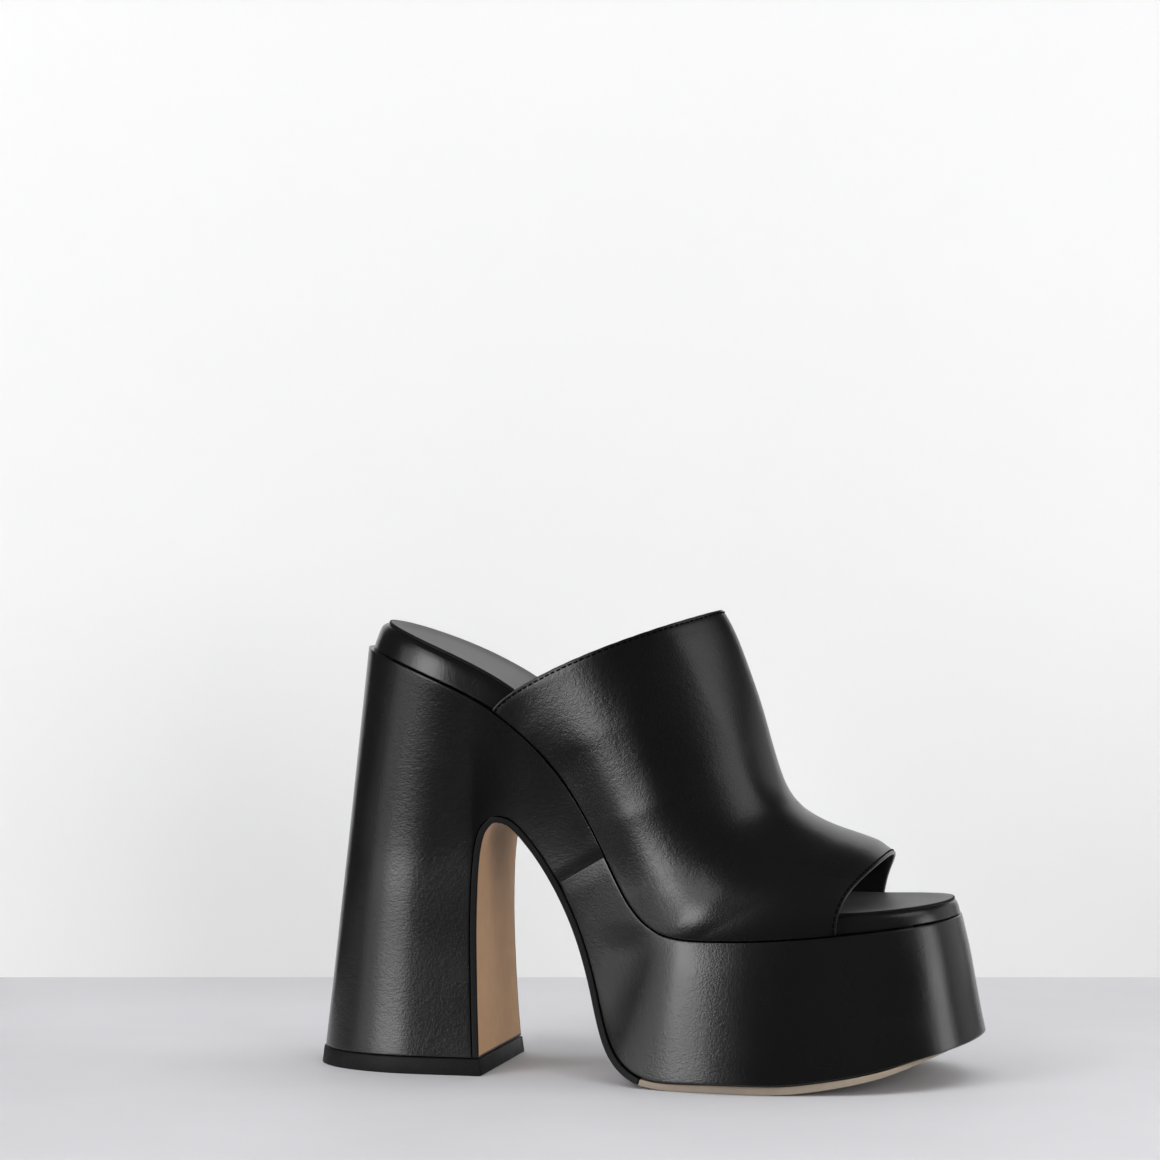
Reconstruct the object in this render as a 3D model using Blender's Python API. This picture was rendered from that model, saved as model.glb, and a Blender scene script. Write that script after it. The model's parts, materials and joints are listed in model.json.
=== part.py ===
# Platform mule, right shoe: open toe, no back, flared block heel and covered platform.
# Metres, +Z up, toe to +X, inner side of the foot to +Y, standing on z = 0.
# Each table holds shares of the named sizes, a row for each section.

from collections import namedtuple
from math import cos, pi, sin

import bmesh
import bpy
import numpy as np

for old in list(bpy.data.objects):
    bpy.data.objects.remove(old)

# Top edge of the covered heel and platform, where the footbed and the upper sit
TOP_LENGTH = 0.1925
SEAT_BACK = 0.0435          # from the heel's breast back to the seat's end
SEAT_RISE = 0.1366
BALL_RISE = 0.0462
SEAT_WIDTH = 0.0590
BALL_WIDTH = 0.0892
TOE_SWING = 0.0040          # how far the toe's tip lies towards the inner side
SWING_FROM = 0.55           # share of the top edge where that swing starts

# Heel and its rubber top piece
HEEL_DEPTH = 0.0585         # breast to back, at the foot of the covered block
HEEL_WIDTH = 0.0560
LIFT_THICKNESS = 0.0053
LIFT_MARGIN = 0.0004        # the rubber stands this far outside the block
LIFT_FLARE = 0.0006
LIFT_CORNER = 6.0           # how square the margin turns the rubber's front corners

# Arch between heel and platform, and the tread in front of it
ARCH_SPAN = 0.0610
ARCH_RISE = 0.0809
TREAD_LENGTH = 0.0973
TREAD_WIDTH = 0.0980
TOE_SPRING = 0.0131
COVER_THICKNESS = 0.0020
OUTSOLE_THICKNESS = 0.0026
OUTSOLE_TIP = 0.0011

# Footbed and its sock
FOOTBED_HEEL = 0.0090
FOOTBED_TOE = 0.0053
FOOTBED_ROUND = 0.0028
FOOTBED_TAPER = 0.0003      # the rand's side leans in this far to its rounded edge
FOOTBED_DISH = 0.0012
DISH_SLOPE = 0.0060         # from the sock's edge in to the dished middle
RAND_STEP = 0.0014          # the rand's foot lies this far inside the covered edge at the seat
RAND_TIP = 0.0002           # the same at the toe
SOCK_THICKNESS = 0.0009
SOCK_INSET = 0.0032

# Upper
UPPER_WALL = 0.0016
INSTEP_RISE = 0.1025        # peak of the topline above the ball's top edge
RIDGE_LEAN = 0.0030         # the instep's ridge lies this far towards the inner side

GAP = 0.0003                # between pieces that touch on the real shoe
EDGE_MARGIN = 0.0002        # the upper's foot inside the covered edge
SIDE_ROOM = 0.0005          # between the upper's inner face and the footbed
SHARP_ANGLE = 0.6           # radians between faces that meet in a sharp edge
NUDGE = 0.0001              # short step along a curve, to find its direction

# How finely the pieces are divided
BACK_STEPS = 12
SIDE_STEPS = 5
ARCH_STEPS = 14
COLUMN_ROWS = 8
BLOCK_ROWS = 6
BREAST_STEPS = 19
PLATFORM_ROWS = 6
FAN_STEPS = 14
FACING_STEPS = 48
WAIST_STEPS = 30
TREAD_STEPS = 6
TOE_STEPS = 12
ROUND_STEPS = 3
UPPER_SECTIONS = 22
UPPER_ARC = 36

# Top edge: along from the seat's end to the toe, rise from ball (0) to seat (1), half widths of
# the outer and inner side from the seat's (0) to the ball's (1)
Edge = namedtuple("Edge", "along rise outer inner")
TOP_EDGE = [
    Edge(0.000, 1.000, 0.00, 0.00),
    Edge(0.122, 0.906, 0.01, -0.02),
    Edge(0.226, 0.804, 0.03, -0.10),
    Edge(0.299, 0.690, -0.05, -0.24),
    Edge(0.361, 0.550, -0.09, -0.31),
    Edge(0.413, 0.384, -0.05, -0.26),
    Edge(0.455, 0.215, 0.10, -0.08),
    Edge(0.486, 0.108, 0.29, 0.13),
    Edge(0.517, 0.045, 0.49, 0.36),
    Edge(0.553, 0.010, 0.69, 0.60),
    Edge(0.600, 0.000, 0.86, 0.82),
    Edge(0.714, 0.005, 1.00, 1.00),
    Edge(0.849, 0.025, 1.00, 1.00),
    Edge(1.000, 0.062, 1.00, 1.00),
]

# Underside from the breast over the arch to the tread: forward in arch spans, up in arch rises,
# half widths from the heel's (0) to the tread's (1)
Under = namedtuple("Under", "forward up outer inner")
ARCH = [
    Under(0.000, 0.069, 0.00, 0.00),
    Under(-0.016, 0.309, -0.08, -0.08),
    Under(-0.025, 0.556, -0.13, -0.13),
    Under(-0.020, 0.766, -0.15, -0.16),
    Under(-0.010, 0.865, -0.16, -0.17),
    Under(0.007, 0.939, -0.17, -0.18),
    Under(0.039, 0.984, -0.17, -0.18),
    Under(0.088, 1.000, -0.17, -0.18),
    Under(0.136, 0.988, -0.17, -0.19),
    Under(0.195, 0.946, -0.17, -0.20),
    Under(0.297, 0.852, -0.16, -0.21),
    Under(0.423, 0.698, -0.12, -0.20),
    Under(0.515, 0.548, -0.05, -0.15),
    Under(0.584, 0.397, 0.06, -0.05),
    Under(0.641, 0.247, 0.21, 0.11),
    Under(0.680, 0.167, 0.33, 0.24),
    Under(0.738, 0.096, 0.49, 0.41),
    Under(0.811, 0.047, 0.63, 0.56),
    Under(0.893, 0.016, 0.73, 0.67),
    Under(1.000, 0.000, 0.81, 0.76),
]

# Tread from the arch to the toe: along in tread lengths, up in toe springs, half widths as above
Tread = namedtuple("Tread", "along up outer inner")
TREAD = [
    Tread(0.09, 0.000, 0.89, 0.85),
    Tread(0.20, 0.000, 0.96, 0.95),
    Tread(0.34, 0.000, 1.00, 1.00),
    Tread(0.42, 0.008, 1.00, 1.00),
    Tread(0.53, 0.113, 1.00, 1.00),
    Tread(0.66, 0.282, 1.00, 1.00),
    Tread(0.77, 0.505, 1.00, 1.00),
    Tread(0.89, 0.757, 1.00, 1.00),
    Tread(1.00, 1.000, 1.00, 1.00),
]
TREAD_CURVE_STEPS = 2       # steps of TREAD before its outline starts to round to the toe
TREAD_CURVE_FROM = TREAD[TREAD_CURVE_STEPS].along
TOP_CURVE_FROM = 0.714      # share of the top edge where the same happens
SEAT_CURVE_TO = 0.175       # share of the top edge that rounds at the seat
HEEL_CURVE_FROM = 0.34      # share of the heel's depth where its outline starts to round
TOE_POWER_OUTER = 2.3
TOE_POWER_INNER = 2.15
HEEL_POWER = 2.05
BLOCK_EASE = 1.4            # how late the heel's block widens on its way up
FOOTBED_EASE = 1.3          # how late the footbed thins on its way forward
ROOM_EASE = 0.5             # how soon the footbed gives the upper its full room

# Where the covers of heel and platform meet, and where facing and outsole meet, by row of ARCH
SEAM_ROW = 10.65
SEAM_ALONG = 0.4395
BREAST_TOP_ROW = 4
BREAST_ALONG = 0.219
JOINT_ROW = 18.1
FAN_END_ROW = 20.0
FAN_END_ALONG = 0.585

# Leather under the covers: the facing, then the outsole thinning to the toe, by row of ARCH and
# then TREAD
Leather = namedtuple("Leather", "row thickness")
LEATHER = [
    Leather(0.0, COVER_THICKNESS),
    Leather(JOINT_ROW, COVER_THICKNESS),
    Leather(21.0, OUTSOLE_THICKNESS),
    Leather(24.0, OUTSOLE_THICKNESS),
    Leather(26.0, (OUTSOLE_THICKNESS + OUTSOLE_TIP) / 2),
    Leather(28.0, OUTSOLE_TIP),
]

# Upper, from the topline (0) to the toe opening (1): feet of the section on the outer and inner
# side in top lengths, its ridge forward in top lengths and up in instep rises, how its sides lean
# and how square its shoulders are
Section = namedtuple("Section", "at outer_foot inner_foot forward up lean shoulder")
UPPER = [
    Section(0.00, 0.248, 0.250, 0.606, 1.000, 1.40, 2.05),
    Section(0.10, 0.310, 0.312, 0.628, 0.928, 1.26, 2.05),
    Section(0.20, 0.366, 0.368, 0.649, 0.828, 1.16, 2.06),
    Section(0.32, 0.421, 0.424, 0.673, 0.698, 1.10, 2.08),
    Section(0.44, 0.470, 0.474, 0.694, 0.556, 1.10, 2.12),
    Section(0.54, 0.515, 0.520, 0.714, 0.444, 1.14, 2.16),
    Section(0.64, 0.568, 0.574, 0.746, 0.372, 1.22, 2.20),
    Section(0.76, 0.645, 0.654, 0.796, 0.324, 1.40, 2.24),
    Section(0.88, 0.740, 0.754, 0.848, 0.291, 1.70, 2.28),
    Section(1.00, 0.832, 0.850, 0.893, 0.256, 2.00, 2.30),
]
UPPER_BELLY = 0.030         # outward swell of the sides, in half widths

# Colours, roughness and metallic value of each piece
BLACK_LEATHER = (0.012, 0.012, 0.013, 1.0)
GREY_LEATHER = (0.055, 0.055, 0.058, 1.0)
TAN_LEATHER = (0.560, 0.390, 0.270, 1.0)
BLACK_RUBBER = (0.016, 0.016, 0.017, 1.0)


# Smooth curve through a table's points, without waves on its flat stretches
def curve(places, values, at):
    steps = np.diff(values) / np.diff(places)
    first = 2 * steps[0] - steps[1]
    last = 2 * steps[-1] - steps[-2]
    ends = ([2 * first - steps[0], first], [last, 2 * last - steps[-1]])
    run = np.concatenate([ends[0], steps, ends[1]])
    weight = np.abs(np.diff(run)) + np.abs(run[1:] + run[:-1]) / 2
    behind, ahead = weight[2:], weight[:-2]
    total = np.maximum(behind + ahead, 1e-12)
    slope = (behind * run[1:-2] + ahead * run[2:-1]) / total
    at = np.clip(at, places[0], places[-1])
    cell = np.clip(np.searchsorted(places, at, side="right") - 1, 0, len(places) - 2)
    width = places[cell + 1] - places[cell]
    t = (at - places[cell]) / width
    start = (1 + 2 * t) * (1 - t) ** 2 * values[cell] + t * (1 - t) ** 2 * width * slope[cell]
    end = t ** 2 * (3 - 2 * t) * values[cell + 1] + t ** 2 * (t - 1) * width * slope[cell + 1]
    return start + end


def column(rows, name):
    return np.array([getattr(row, name) for row in rows], float)


def from_table(rows, key, name, at):
    return curve(column(rows, key), column(rows, name), at)


# Share of the full half width left on a rounded end, from where it starts (0) to its tip (1)
def rounded(share, power):
    share = np.clip(share, 0.0, 1.0)
    return np.maximum(1 - share ** power, 0.0) ** (1 / power)


# The top edge's place forward at a share of its length
def top_x(along):
    return TOP_LENGTH * along - SEAT_BACK


def top_z(along):
    rise = from_table(TOP_EDGE, "along", "rise", along)
    return BALL_RISE + (SEAT_RISE - BALL_RISE) * rise


# A point of the covered top, lifted square to it, as (x, z)
def on_top(along, lift):
    ahead, behind = along + NUDGE, along - NUDGE
    dx = top_x(ahead) - top_x(behind)
    dz = top_z(np.minimum(ahead, 1.0)) - top_z(np.maximum(behind, 0.0))
    length = np.hypot(dx, dz)
    return top_x(along) - dz / length * lift, top_z(along) + dx / length * lift


# Half width of the top edge, outer side (-1) or inner side (+1)
def top_half(along, side):
    name, power = ("outer", TOE_POWER_OUTER) if side < 0 else ("inner", TOE_POWER_INNER)
    share = from_table(TOP_EDGE, "along", name, along)
    half = (SEAT_WIDTH + (BALL_WIDTH - SEAT_WIDTH) * share) / 2
    toe = rounded((along - TOP_CURVE_FROM) / (1 - TOP_CURVE_FROM), power)
    seat = rounded((SEAT_CURVE_TO - along) / SEAT_CURVE_TO, HEEL_POWER)
    return half * toe * seat


# The foot's centre line swings to the inner side from ball to toe
def swing(share):
    share = np.clip(share, 0.0, 1.0)
    return TOE_SWING * share ** 2 * (3 - 2 * share)


def top_y(along, side):
    return side * top_half(along, side) + swing((along - SWING_FROM) / (1 - SWING_FROM))


# The underside's rows as (x, z, outer half width, inner half width)
def underside_rows():
    rows = []
    for row in ARCH:
        rows.append((ARCH_SPAN * row.forward, ARCH_RISE * row.up, row.outer, row.inner))
    for row in TREAD:
        x = ARCH_SPAN + TREAD_LENGTH * row.along
        rows.append((x, TOE_SPRING * row.up, row.outer, row.inner))
    rows = np.array(rows)
    rows[0, 1] = LIFT_THICKNESS + GAP
    rows[:, 2:] = (HEEL_WIDTH + (TREAD_WIDTH - HEEL_WIDTH) * rows[:, 2:]) / 2
    return rows


UNDER_ROWS = underside_rows()
UNDER_RUN = np.concatenate([[0], np.cumsum(np.hypot(*np.diff(UNDER_ROWS[:, :2], axis=0).T))])


# Run along the underside at a row number of ARCH and then TREAD, which may be a fraction
def run_at(row):
    return np.interp(row, np.arange(len(UNDER_RUN)), UNDER_RUN)


def under_point(run):
    x = curve(UNDER_RUN, UNDER_ROWS[:, 0], run)
    z = curve(UNDER_RUN, UNDER_ROWS[:, 1], run)
    return x, np.maximum(z, 0.0)


# A point of the underside, moved square into the shoe
def under_inside(run, depth):
    x, z = under_point(run)
    ahead = under_point(run + NUDGE)
    back = under_point(run - NUDGE)
    dx, dz = ahead[0] - back[0], ahead[1] - back[1]
    length = np.hypot(dx, dz)
    return x - dz / length * depth, z + dx / length * depth


# Thickness of the leather under the covers
def leather(run):
    return np.interp(run, run_at(column(LEATHER, "row")), column(LEATHER, "thickness"))


def under_y(run, side):
    name, power = (2, TOE_POWER_OUTER) if side < 0 else (3, TOE_POWER_INNER)
    half = curve(UNDER_RUN, UNDER_ROWS[:, name], run)
    x, _ = under_point(run)
    share = (x - ARCH_SPAN) / TREAD_LENGTH
    toe = rounded((share - TREAD_CURVE_FROM) / (1 - TREAD_CURVE_FROM), power)
    return side * half * toe + swing(share)


def points(x, y, z):
    x, y, z = np.broadcast_arrays(x, y, z)
    return np.stack([x, y, z], axis=-1)


# A material of one colour with a leather's or rubber's gloss
def finish(name, colour, roughness):
    material = bpy.data.materials.new(name)
    material.use_nodes = True
    shader = material.node_tree.nodes["Principled BSDF"]
    shader.inputs["Base Color"].default_value = colour
    shader.inputs["Roughness"].default_value = roughness
    shader.inputs["Metallic"].default_value = 0.0
    return material


# One closed body from patches, each a grid of points, whose borders coincide
def body(name, patches, material):
    mesh = bpy.data.meshes.new(name)
    shape = bmesh.new()
    for patch in patches:
        grid = [[shape.verts.new(point) for point in line] for line in patch]
        for line, after in zip(grid, grid[1:]):
            for i in range(len(line) - 1):
                shape.faces.new((line[i], line[i + 1], after[i + 1], after[i]))
    bmesh.ops.remove_doubles(shape, verts=shape.verts, dist=1e-6)
    bmesh.ops.dissolve_degenerate(shape, edges=shape.edges, dist=1e-7)
    bmesh.ops.recalc_face_normals(shape, faces=shape.faces)
    shape.to_mesh(mesh)
    shape.free()
    mesh.shade_smooth()
    mesh.set_sharp_from_angle(angle=SHARP_ANGLE)
    mesh.materials.append(material)
    solid = bpy.data.objects.new(name, mesh)
    bpy.context.collection.objects.link(solid)
    return solid


# The strip between two lines of points, such as a flat top between its two edges
def across(line, other):
    return np.stack([line, other], axis=1)


# Shares of the heel's depth, closer together where its outline rounds
def heel_shares():
    straight = np.linspace(0, HEEL_CURVE_FROM, SIDE_STEPS + 1)[:-1]
    turn = np.sin(np.linspace(0, pi / 2, BACK_STEPS + 1))
    return np.concatenate([straight, HEEL_CURVE_FROM + (1 - HEEL_CURVE_FROM) * turn])


# The D's outline at a height: share 0 at the breast, 1 at the back
def heel_outline(share, z, side):
    run = np.interp(z, *breast_line())
    front, _ = under_inside(run, COVER_THICKNESS + GAP)
    slope = (HEEL_DEPTH - SEAT_BACK) / (SEAT_RISE - LIFT_THICKNESS)
    back = -HEEL_DEPTH + slope * (z - LIFT_THICKNESS)
    half = np.abs(under_y(run, side))
    round_share = (share - HEEL_CURVE_FROM) / (1 - HEEL_CURVE_FROM)
    y = side * half * rounded(round_share, HEEL_POWER)
    return front + (back - front) * share, y


# Heights on the breast and the run along the underside at each
def breast_line():
    run = np.linspace(run_at(0), run_at(BREAST_TOP_ROW), BREAST_STEPS + 1)
    return under_inside(run, COVER_THICKNESS + GAP)[1], run


# One side of the block heel: a column that narrows upwards, and a wedge over the arch to the seam
def heel_side(side):
    shares = heel_shares()
    top = breast_line()[0][-1]
    heights = np.linspace(LIFT_THICKNESS + GAP, top, COLUMN_ROWS + 1)
    lines = []
    for z in heights:
        x, y = heel_outline(shares, z, side)
        lines.append(points(x, y, z))
    column_grid = np.array(lines)
    # the block above: its lower line runs back from the breast and forward under the arch
    back_along = BREAST_ALONG * (1 - shares)
    runs = np.linspace(run_at(BREAST_TOP_ROW), run_at(SEAM_ROW), ARCH_STEPS + 1)[:0:-1]
    front_along = np.linspace(BREAST_ALONG, SEAM_ALONG, ARCH_STEPS + 1)[:0:-1]
    low_x, low_z = under_inside(runs, COVER_THICKNESS + GAP)
    low = np.concatenate([points(low_x, under_y(runs, side), low_z), column_grid[-1]])
    along = np.concatenate([front_along, back_along])
    high = points(top_x(along), top_y(along, side), top_z(along))
    block = []
    for share in np.linspace(0, 1, BLOCK_ROWS + 1):
        line = low + (high - low) * share
        line[:, 1] = low[:, 1] + (high[:, 1] - low[:, 1]) * share ** BLOCK_EASE
        block.append(line)
    return column_grid, np.array(block)


def make_heel():
    outer_column, outer_block = heel_side(-1)
    inner_column, inner_block = heel_side(1)
    patches = [outer_column, inner_column, outer_block, inner_block]
    patches.append(across(outer_block[-1], inner_block[-1]))
    patches.append(across(outer_block[:, 0], inner_block[:, 0]))
    patches.append(across(outer_block[0, :ARCH_STEPS + 1], inner_block[0, :ARCH_STEPS + 1]))
    patches.append(across(outer_column[:, 0], inner_column[:, 0]))
    patches.append(across(outer_column[0], inner_column[0]))
    return body("heel", patches, finish("heel leather", BLACK_LEATHER, 0.42))


# Rubber top piece: the heel's own foot, a little proud of it and flared to the floor
def make_top_lift():
    shares = heel_shares()
    rings = []
    for z, spread in ((0.0, LIFT_MARGIN + LIFT_FLARE), (LIFT_THICKNESS, LIFT_MARGIN)):
        sides = []
        for side in (-1, 1):
            x, y = heel_outline(shares, LIFT_THICKNESS + GAP, side)
            x = x + (COVER_THICKNESS + GAP + spread) * (1 - shares) - spread * shares
            y = y + side * spread * rounded(shares, LIFT_CORNER)
            sides.append(points(x, y, z))
        rings.append(sides)
    foot, top = rings
    patches = [np.array([foot[i], top[i]]) for i in (0, 1)]
    patches.append(across(foot[0], foot[1]))
    patches.append(across(top[0], top[1]))
    front = np.array([[foot[0][0], foot[1][0]], [top[0][0], top[1][0]]])
    patches.append(front)
    return body("top_lift", patches, finish("black rubber", BLACK_RUBBER, 0.6))


# Runs along the underside from a row to the toe, closer together where the outline rounds
def tread_runs(first_row):
    curve_start = run_at(len(ARCH) + TREAD_CURVE_STEPS)
    straight = np.linspace(run_at(first_row), curve_start, TREAD_STEPS + 1)[:-1]
    turn = np.sin(np.linspace(0, pi / 2, TOE_STEPS + 1))
    return np.concatenate([straight, curve_start + (UNDER_RUN[-1] - curve_start) * turn])


# A run of sections, each from a low line to a high line. Its last section has no width at a
# rounded toe, and is closed with a face where end_face asks for it.
def prism(low, high, shares, end_face=False):
    sides = [np.array([low[i] + (high[i] - low[i]) * share for share in shares]) for i in (0, 1)]
    patches = list(sides)
    patches.append(across(sides[0][0], sides[1][0]))
    patches.append(across(sides[0][-1], sides[1][-1]))
    patches.append(across(sides[0][:, 0], sides[1][:, 0]))
    if end_face:
        patches.append(across(sides[0][:, -1], sides[1][:, -1]))
    return patches


# Platform block: from the seam down round the arch, then forward to the toe
def make_platform():
    fan_runs = np.linspace(run_at(SEAM_ROW), run_at(FAN_END_ROW), FAN_STEPS + 1)[:-1]
    runs = np.concatenate([fan_runs, tread_runs(FAN_END_ROW)])
    fan_along = np.linspace(SEAM_ALONG, FAN_END_ALONG, FAN_STEPS + 1)[:-1]
    x, _ = under_point(runs[FAN_STEPS:])
    forward = (x - x[0]) / (x[-1] - x[0])
    along = np.concatenate([fan_along, FAN_END_ALONG + (1 - FAN_END_ALONG) * forward])
    low_x, low_z = under_inside(runs, leather(runs) + GAP)
    low = [points(low_x, under_y(runs, side), low_z) for side in (-1, 1)]
    high = [points(top_x(along), top_y(along, side), top_z(along)) for side in (-1, 1)]
    # the cover's seam: the platform starts a gap ahead of the heel
    seam = high[0][0] - low[0][0]
    step = np.array([seam[2], 0.0, -seam[0]]) / np.hypot(seam[0], seam[2]) * GAP
    for line in low + high:
        line[0] += step
    patches = prism(low, high, np.linspace(0, 1, PLATFORM_ROWS + 1))
    return body("platform", patches, finish("platform leather", BLACK_LEATHER, 0.42))


# Facing of the breast and the arch, a thin leather with square edges
def make_waist_cover():
    runs = np.linspace(run_at(0), run_at(JOINT_ROW) - GAP, FACING_STEPS + 1)
    low_x, low_z = under_point(runs)
    high_x, high_z = under_inside(runs, COVER_THICKNESS)
    high_z[0] = low_z[0]
    low = [points(low_x, under_y(runs, side), low_z) for side in (-1, 1)]
    high = [points(high_x, under_y(runs, side), high_z) for side in (-1, 1)]
    patches = prism(low, high, (0.0, 1.0), end_face=True)
    return body("waist_cover", patches, finish("tan facing", TAN_LEATHER, 0.5))


# Outsole of the forefoot, flat on the floor at the ball and thinning as it rises to the toe
def make_outsole():
    runs = tread_runs(JOINT_ROW)
    low_x, low_z = under_point(runs)
    high_x, high_z = under_inside(runs, leather(runs))
    low = [points(low_x, under_y(runs, side), low_z) for side in (-1, 1)]
    high = [points(high_x, under_y(runs, side), high_z) for side in (-1, 1)]
    patches = prism(low, high, (0.0, 1.0))
    return body("outsole", patches, finish("tan outsole", TAN_LEATHER, 0.5))


# Shares of the top edge, closer together at the rounded ends
def top_stations():
    seat = SEAT_CURVE_TO * (1 - np.sin(np.linspace(pi / 2, 0, BACK_STEPS + 1)))[:-1]
    waist = np.linspace(SEAT_CURVE_TO, TOP_CURVE_FROM, WAIST_STEPS + 1)[:-1]
    toe = np.sin(np.linspace(0, pi / 2, TOE_STEPS + 1))
    return np.concatenate([seat, waist, TOP_CURVE_FROM + (1 - TOP_CURVE_FROM) * toe])


# How far the footbed's side lies inside the covered edge: under the upper it leaves room for it
def footbed_inset(along):
    covered = EDGE_MARGIN + UPPER_WALL + GAP + SIDE_ROOM
    back = np.clip(along / UPPER[0].outer_foot, 0, 1)
    front = np.clip((1 - along) / (1 - UPPER[-1].inner_foot), 0, 1)
    ease = np.minimum(back, front) ** ROOM_EASE
    bare = np.where(along < 0.5, RAND_STEP, RAND_TIP)
    return bare + (covered - bare) * ease


def footbed_wall(along):
    share = np.clip(along, 0, 1) ** FOOTBED_EASE
    return FOOTBED_HEEL + (FOOTBED_TOE - FOOTBED_HEEL) * share


# One side of a ring laid on the covered top, inside its edge by inset and lifted by lift
def inset_line(inset, lift, side):
    along = top_stations()
    x, y = top_x(along), top_y(along, side)
    dx, dy = np.gradient(x), np.gradient(y)
    dx[0] = dx[-1] = 0.0
    dy[0], dy[-1] = side, -side
    length = np.hypot(dx, dy)
    x = x + side * dy / length * inset
    y = y - side * dx / length * inset
    y[0], y[-1] = swing(0.0), swing(1.0)
    moved = (x + SEAT_BACK) / TOP_LENGTH
    lifted_x, lifted_z = on_top(moved, lift)
    return points(lifted_x, y, lifted_z)


# A pad on the covered top from rings of (inset, lift), each a pair of arrays over its stations
def pad(rings):
    lines = [[inset_line(inset, lift, side) for inset, lift in rings] for side in (-1, 1)]
    patches = [np.array(side) for side in lines]
    patches.append(across(lines[0][0], lines[1][0]))
    patches.append(across(lines[0][-1], lines[1][-1]))
    return patches


def make_footbed():
    along = top_stations()
    inset = footbed_inset(along)
    top = GAP + footbed_wall(along)
    rings = [(inset, np.full_like(along, GAP)), (inset + FOOTBED_TAPER, top - FOOTBED_ROUND)]
    for step in range(1, ROUND_STEPS + 1):
        turn = pi / 2 * step / ROUND_STEPS
        rings.append((inset + FOOTBED_TAPER + FOOTBED_ROUND * (1 - cos(turn)),
                      top - FOOTBED_ROUND * (1 - sin(turn))))
    rings.append((inset + SOCK_INSET, top))
    rings.append((inset + SOCK_INSET + DISH_SLOPE, top - FOOTBED_DISH))
    return body("footbed", pad(rings), finish("rand leather", BLACK_LEATHER, 0.42))


def make_insock():
    along = top_stations()
    inset = footbed_inset(along)
    base = GAP + footbed_wall(along) + GAP
    edge, inner = inset + SOCK_INSET, inset + SOCK_INSET + DISH_SLOPE
    rings = [(inner, base - FOOTBED_DISH), (edge, base), (edge, base + SOCK_THICKNESS),
             (inner, base + SOCK_THICKNESS - FOOTBED_DISH)]
    return body("insock", pad(rings), finish("grey sock leather", GREY_LEATHER, 0.6))


# The upper's outer face: sections from the outer foot over the instep to the inner foot
def upper_face():
    sections = []
    for at in np.linspace(0, 1, UPPER_SECTIONS + 1):
        row = {name: float(from_table(UPPER, "at", name, at)) for name in Section._fields[1:]}
        ridge = (top_x(row["forward"]), BALL_RISE + INSTEP_RISE * row["up"])
        line = []
        for angle in np.linspace(0, pi, UPPER_ARC + 1):
            side = -1 if angle < pi / 2 else 1
            foot_along = row["outer_foot"] if side < 0 else row["inner_foot"]
            foot = on_top(foot_along, GAP)
            power = 2 / row["shoulder"]
            reach = abs(cos(angle)) ** power
            climb = abs(sin(angle)) ** power
            foot_y = top_y(foot_along, side) - side * EDGE_MARGIN
            x = foot[0] + (ridge[0] - foot[0]) * climb ** row["lean"]
            z = foot[1] + (ridge[1] - foot[1]) * climb
            belly = 1 + UPPER_BELLY * sin(pi * climb)
            y = RIDGE_LEAN + (foot_y - RIDGE_LEAN) * reach * belly
            line.append((float(x), float(y), float(z)))
        sections.append(line)
    return np.array(sections)


# The same face moved inwards by the wall, square to it
def inner_face(face):
    along, around = np.gradient(face, axis=0), np.gradient(face, axis=1)
    normal = np.cross(along, around)
    normal /= np.linalg.norm(normal, axis=2, keepdims=True)
    middle = UPPER_ARC // 2
    if normal[0, middle, 0] < 0:
        normal = -normal
    inner = face - normal * UPPER_WALL
    for i, side in ((0, -1), (-1, 1)):
        inner[:, i] = face[:, i]
        inner[:, i, 1] -= side * UPPER_WALL
    return inner


def make_upper():
    face = upper_face()
    inner = inner_face(face)
    patches = [face, inner]
    patches.append(across(face[0], inner[0]))
    patches.append(across(face[-1], inner[-1]))
    patches.append(across(face[:, 0], inner[:, 0]))
    patches.append(across(face[:, -1], inner[:, -1]))
    return body("upper", patches, finish("vamp leather", BLACK_LEATHER, 0.4))


# Puts the middle of the whole shoe's box over the origin, with its soles on z = 0
def centre(solids):
    corners = np.array([vertex.co for solid in solids for vertex in solid.data.vertices])
    middle = (corners.min(axis=0) + corners.max(axis=0)) / 2
    for solid in solids:
        for vertex in solid.data.vertices:
            vertex.co.x -= middle[0]
            vertex.co.y -= middle[1]


centre([
    make_heel(),
    make_top_lift(),
    make_platform(),
    make_waist_cover(),
    make_outsole(),
    make_footbed(),
    make_insock(),
    make_upper(),
])
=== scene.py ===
import json
import math

import bpy
import numpy as np
from mathutils import Matrix, Vector
from mathutils.bvhtree import BVHTree
from mathutils.kdtree import KDTree

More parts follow.
